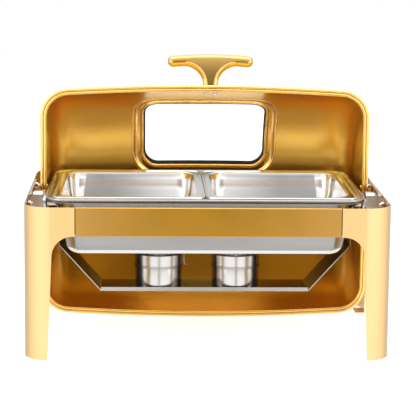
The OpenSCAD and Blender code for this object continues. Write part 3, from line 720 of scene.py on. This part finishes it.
def pressed_pan(name, node, metal_look, flange, edge, mouth_r, rim_r, lean, floor_r, lip):
    """A pan pressed from one sheet: bowl, rounded mouth, flange and turned-down or rolled edge.

    The CAD node and its body have the same name. flange is the flange's width, edge the depth
    of the turned-down edge, mouth_r, rim_r and floor_r the corners' radii, lean how far the
    walls lean in and lip the size of the bead on the flange's edge.
    """
    low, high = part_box(node)
    cx = (low.x + high.x) / 2
    cy = (low.y + high.y) / 2
    hx = (high.x - low.x) / 2
    hy = (high.y - low.y) / 2
    t = 0.001
    top = high.z
    bottom = low.z
    mouth_round = 0.0035
    slope = lean / (top - bottom)
    skins = []
    for thick, mouth_steps in ((t, 5), (0.0, 3)):
        path = []
        floor_bend = floor_r - thick
        for i in range(9):
            a = math.radians(90 * i / 8)
            inset = lean + floor_bend * (1 - math.sin(a))
            path.append((inset, bottom + thick + floor_bend * (1 - math.cos(a))))
        z_side = path[-1][1]
        for i in range(1, 5):
            z = z_side + (top - mouth_round - z_side) * i / 4
            path.append((slope * (top - z), z))
        mouth_bend = mouth_round if thick else mouth_round - t
        mouth_top = top if thick else top - t
        for i in range(1, mouth_steps + 1):
            a = math.radians(90 * i / mouth_steps)
            inset = -mouth_bend * (1 - math.cos(a))
            path.append((inset, mouth_top - mouth_bend * (1 - math.sin(a))))
        skin = []
        for inset, z in path:
            k = max(0.0, min(1.0, (z - bottom) / (top - bottom)))
            corner = floor_r + 0.004 + (mouth_r - floor_r - 0.004) * k - inset * 0.5
            half_x = hx - flange - thick - inset
            half_y = hy - flange - thick - inset
            skin.append(rounded_ring(cx, cy, half_x, half_y, max(corner, 0.006), z))
        skins.append(skin)
    bead = [(4.2, -1.0), (3.2, -0.9), (2.5, -0.2), (1.9, 0.3),
            (1.2, 0.5), (0.6, 0.3), (0.15, -0.3), (0.0, -1.0)]
    outer_path = [(x * lip, top + z * min(lip, 0.0012)) for x, z in bead]
    outer_path += [(0.0, top - edge + 0.0004), (0.0004, top - edge)]
    outer_path += [(0.0009, top - edge), (t, top - edge + 0.0004)]
    outer_path += [(t + 0.0002, top - t - 0.0010), (0.0026, top - t - 0.0006)]
    outer_path += [(4.2 * lip, top - t - 0.0008)]
    outer = [rounded_ring(cx, cy, hx - inset, hy - inset, rim_r - inset, z)
             for inset, z in outer_path]
    obj = loft(name, skins[0] + outer + list(reversed(skins[1])), 50)
    finish_piece(obj, node, metal_look, node)
    # The pan's darker steel is painted shade; the underside keeps the brighter steel, which lights the lid's
    # inside behind the tray
    obj.data.materials.append(pan_steel)
    for polygon in obj.data.polygons:
        if polygon.normal.z < -0.5 and polygon.center.z < bottom + floor_r:
            polygon.material_index = 1


pressed_pan("WaterPan", "water_pan", water_steel_painted_shade, flange=0.023, edge=0.007, mouth_r=0.030,
            rim_r=0.042, lean=0.012, floor_r=0.022, lip=0.0022)
for side in ("left", "right"):
    pressed_pan(f"FoodPan.{side}", f"food_pan_{side}", pan_steel, flange=0.014, edge=0.0026,
                mouth_r=0.036, rim_r=0.020, lean=0.008, floor_r=0.018, lip=0.0014)


# ---------- Fuel holders ----------

def turned(name, cx, cy, profile):
    """A body turned about an upright axis from a closed profile of (radius, z)."""
    steps = 72
    rings = []
    for i in range(steps):
        a = 2 * math.pi * i / steps
        rings.append([Vector((cx + r * math.cos(a), cy + r * math.sin(a), z)) for r, z in profile])
    return loft(name, rings, 50, wrap=True)


def fuel_holder(side):
    """A cup with a rounded foot, and its cap with two beads and a flame hole."""
    body = f"fuel_holder_{side}"
    low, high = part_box(f"fuel_cup_{side}")
    cx = (low.x + high.x) / 2
    cy = (low.y + high.y) / 2
    r = (high.x - low.x) / 2
    t = 0.0008
    foot_r = 0.003
    axis_r = 0.0005
    cup = [(axis_r, low.z)] + arc(r - foot_r, low.z + foot_r, foot_r, -90, 0, 6)
    cup += [(r, high.z - 0.0004), (r - 0.0004, high.z), (r - t, high.z - 0.0004)]
    cup += [(r - t, low.z + foot_r)] + arc(r - foot_r, low.z + foot_r, 0.0022, 0, -90, 5)
    cup += [(axis_r, low.z + t)]
    finish_piece(turned(f"FuelCup.{side}", cx, cy, cup), body,
                 polished_steel_painted_shade, f"fuel_cup_{side}")
    low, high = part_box(f"fuel_cap_{side}")
    rc = r + 0.0009
    bead = 0.0012
    beads = []
    for z in (low.z + 0.0014, low.z + 0.0042):
        beads += arc(rc - 0.0001, z, bead, -80, 80, 8)
    top_r = 0.0016
    hole = 0.024
    cap = [(rc - t, low.z + 0.0002)] + beads + arc(rc - top_r, high.z - top_r, top_r, 0, 90, 6)
    cap += [(hole + 0.0008, high.z), (hole, high.z - 0.0004), (hole, high.z - t)]
    cap += [(rc - top_r, high.z - t), (rc - t, high.z - top_r)]
    finish_piece(turned(f"FuelCap.{side}", cx, cy, cap), body,
                 polished_steel_painted_shade, f"fuel_cap_{side}")


for side in ("left", "right"):
    fuel_holder(side)


# ---------- Floor, light and camera ----------

def studio_floor():
    """A white floor, a hair below the feet, that the metal doesn't reflect."""
    mesh = bpy.data.meshes.new("Floor")
    half = 6.0
    steps = 24
    floor_z = -0.0012
    verts = []
    faces = []
    for i in range(steps + 1):
        for j in range(steps + 1):
            verts.append((half * (2 * i / steps - 1), half * (2 * j / steps - 1), floor_z))
    for i in range(steps):
        for j in range(steps):
            a = i * (steps + 1) + j
            faces.append((a, a + steps + 1, a + steps + 2, a + 1))
    mesh.from_pydata(verts, [], faces)
    floor = bpy.data.objects.new("Floor", mesh)
    bpy.context.scene.collection.objects.link(floor)
    material, nodes, links, shader = node_material("paper_floor")
    shader.inputs["Base Color"].default_value = (0.35, 0.35, 0.35, 1)
    shader.inputs["Roughness"].default_value = 0.9
    shader.inputs["Emission Color"].default_value = (1, 1, 1, 1)
    shader.inputs["Emission Strength"].default_value = 0.8
    mesh.materials.append(material)
    floor.visible_glossy = False


def ramp(nodes, stops):
    """A smooth ramp through (place, value) stops."""
    node = nodes.new("ShaderNodeValToRGB")
    node.color_ramp.interpolation = "EASE"
    elements = node.color_ramp.elements
    while len(elements) > 1:
        elements.remove(elements[-1])
    for i, (place, value) in enumerate(stops):
        element = elements[0] if i == 0 else elements.new(place)
        element.position = place
        element.color = (value, value, value, 1)
    return node


# Light from each side: degrees from straight ahead of the front (right is positive), strength
AROUND = [(-180, 0.9), (-130, 0.8), (-100, 1.3), (-70, 1.7), (-35, 1.9), (-14, 1.9), (-5, 2.0),
          (-3.0, 2.0), (-2.1, 1.5), (-1.1, 0.40), (1.5, 0.18), (4.8, 0.34), (6.6, 1.5), (8.0, 2.0),
          (14, 2.0), (35, 1.9), (70, 1.7), (100, 1.3), (130, 0.8), (180, 0.9)]
# What it is multiplied by at each height of the direction, from straight down to straight up
RISE = [(-1, 1.0), (-0.4, 1.0), (-0.1, 1.0), (0.15, 0.95), (0.35, 0.55), (0.55, 0.7),
        (0.75, 1.0), (1, 0.9)]
# The even light that takes over from above and from below, and the most that a ramp can hold
OVERHEAD = 2.1
BELOW = 1.4
MOST = 3.0


def studio_world():
    """Soft light all round, darker straight ahead, seen by the camera as plain white."""
    world = bpy.data.worlds.new("Studio")
    bpy.context.scene.world = world
    world.use_nodes = True
    nodes = world.node_tree.nodes
    links = world.node_tree.links

    def maths(operation, a, b=0.0):
        node = nodes.new("ShaderNodeMath")
        node.operation = operation
        for socket, value in zip(node.inputs, (a, b)):
            if isinstance(value, float):
                socket.default_value = value
            else:
                links.new(value, socket)
        return node.outputs["Value"]

    place = nodes.new("ShaderNodeTexCoord")
    split = nodes.new("ShaderNodeSeparateXYZ")
    links.new(place.outputs["Generated"], split.inputs["Vector"])
    azimuth = maths("ARCTAN2", split.outputs["X"], maths("MULTIPLY", split.outputs["Y"], -1.0))
    turn = maths("DIVIDE", azimuth, math.pi)
    # The square root gives the ramp more room near straight ahead
    fine = maths("MULTIPLY", maths("SIGN", turn), maths("SQRT", maths("ABSOLUTE", turn)))
    share = maths("ADD", maths("MULTIPLY", fine, 0.5), 0.5)
    level = ramp(nodes, [(0.5 + 0.5 * math.copysign(math.sqrt(abs(a) / 180), a), v / MOST)
                         for a, v in AROUND])
    links.new(share, level.inputs["Fac"])
    light = level.outputs["Color"]
    for start, end, even in ((0.25, 0.6, OVERHEAD), (-0.3, -0.7, BELOW)):
        fade = nodes.new("ShaderNodeMapRange")
        fade.interpolation_type = "SMOOTHSTEP"
        fade.inputs["From Min"].default_value = start
        fade.inputs["From Max"].default_value = end
        links.new(split.outputs["Z"], fade.inputs["Value"])
        mix = nodes.new("ShaderNodeMix")
        links.new(fade.outputs["Result"], mix.inputs["Factor"])
        links.new(light, mix.inputs["A"])
        mix.inputs["B"].default_value = even / MOST
        light = mix.outputs["Result"]
    rise = ramp(nodes, [((z + 1) / 2, v) for z, v in RISE])
    height = maths("ADD", maths("MULTIPLY", split.outputs["Z"], 0.5), 0.5)
    links.new(height, rise.inputs["Fac"])
    strength = maths("MULTIPLY", maths("MULTIPLY", light, rise.outputs["Color"]), MOST)
    path = nodes.new("ShaderNodeLightPath")
    pick = nodes.new("ShaderNodeMix")
    links.new(path.outputs["Is Camera Ray"], pick.inputs["Factor"])
    links.new(strength, pick.inputs["A"])
    pick.inputs["B"].default_value = 1.0
    background = nodes["Background"]
    links.new(pick.outputs["Result"], background.inputs["Strength"])
    background.inputs["Color"].default_value = (1, 1, 1, 1)


def soft_box(name, place, target, size, power):
    """A rectangular lamp at a place, turned towards a target."""
    light = bpy.data.lights.new(name, "AREA")
    light.shape = "RECTANGLE"
    light.size, light.size_y = size
    light.energy = power
    obj = bpy.data.objects.new(name, light)
    obj.location = place
    aim = Vector(target) - Vector(place)
    obj.rotation_euler = aim.to_track_quat("-Z", "Y").to_euler()
    bpy.context.scene.collection.objects.link(obj)


def studio_camera():
    """A long lens a little left of the middle, looking slightly down."""
    place = (-0.1086, -3.1636, 0.7620)
    pitch = math.radians(9.587)
    yaw = math.radians(2.081)
    roll = math.radians(0.567)
    ahead = Vector((math.sin(yaw) * math.cos(pitch), math.cos(yaw) * math.cos(pitch),
                    -math.sin(pitch)))
    right = Vector((math.cos(yaw), -math.sin(yaw), 0))
    up = right.cross(ahead)
    turned_right = math.cos(roll) * right + math.sin(roll) * up
    turned_up = -math.sin(roll) * right + math.cos(roll) * up
    camera = bpy.data.cameras.new("Camera")
    camera.lens = 152.8
    camera.sensor_width = 36.0
    camera.clip_start = 0.05
    camera.clip_end = 50
    obj = bpy.data.objects.new("Camera", camera)
    turn = Matrix((turned_right, turned_up, -ahead)).transposed()
    obj.matrix_world = Matrix.Translation(place) @ turn.to_4x4()
    bpy.context.scene.collection.objects.link(obj)
    bpy.context.scene.camera = obj


studio_floor()
studio_world()
soft_box("TopBox", (0.0, -0.3, 2.4), (0, 0, 0.2), (2.2, 1.6), 20)
soft_box("LeftBox", (-2.2, -1.2, 1.3), (0, 0, 0.25), (1.0, 1.8), 16)
soft_box("RightBox", (2.2, -1.2, 1.3), (0, 0, 0.25), (1.0, 1.8), 16)
studio_camera()
bpy.context.scene.view_settings.view_transform = "Standard"

bpy.context.view_layer.update()
